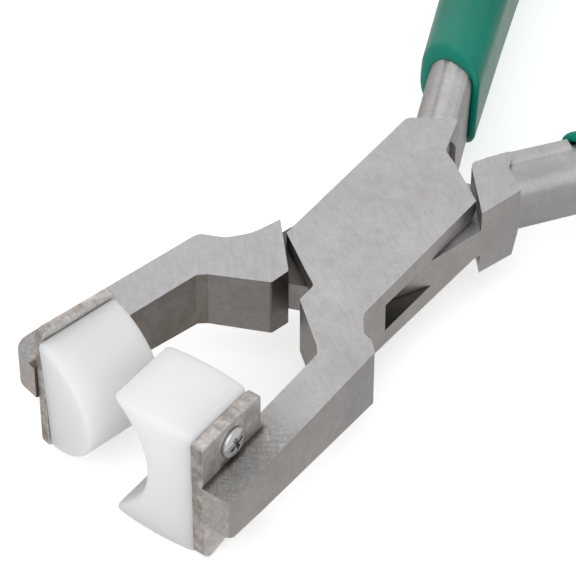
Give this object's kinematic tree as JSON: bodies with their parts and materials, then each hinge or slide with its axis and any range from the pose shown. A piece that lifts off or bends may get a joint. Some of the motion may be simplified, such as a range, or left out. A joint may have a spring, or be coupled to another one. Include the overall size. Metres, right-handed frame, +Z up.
{
  "type": "nylon jaw pliers",
  "caption": "Box-joint pliers, open, with a hollow and a half-round nylon jaw screwed to plates on cranked steel arms, and green dipped grips on curved handles.",
  "frame": {"origin": "centre of the pivot, half way through the thickness of the joint", "axes": "+X towards the nose along the box half, +Z up along the pivot pin, +Y towards the jaw arm of the box half"},
  "size_m": [0.166, 0.083, 0.022],
  "materials": {
    "box_steel": "ground, satin",
    "inner_steel": "ground, satin",
    "pin_steel": "ground flush",
    "plate_steel": "sawn and brazed",
    "nylon": "translucent white nylon",
    "zinc": "bright zinc",
    "grip_green": "glossy dipped plastisol"
  },
  "bodies": {
    "box_side": {"box_half": "box_steel", "pivot_pin": "pin_steel", "concave_jaw_plate": "plate_steel", "concave_jaw_pad": "nylon", "concave_upper_screw": "zinc", "concave_lower_screw": "zinc", "box_grip": "grip_green"},
    "inner_side": {"inner_half": "inner_steel", "convex_jaw_plate": "plate_steel", "convex_jaw_pad": "nylon", "convex_upper_screw": "zinc", "convex_lower_screw": "zinc", "inner_grip": "grip_green"}
  },
  "joints": [
    {"name": "pivot", "type": "hinge", "parent": "box_side", "child": "inner_side", "pos_m": [0, 0, 0], "axis": [0, 0, 1], "range_deg": [-14, 9]}
  ]
}
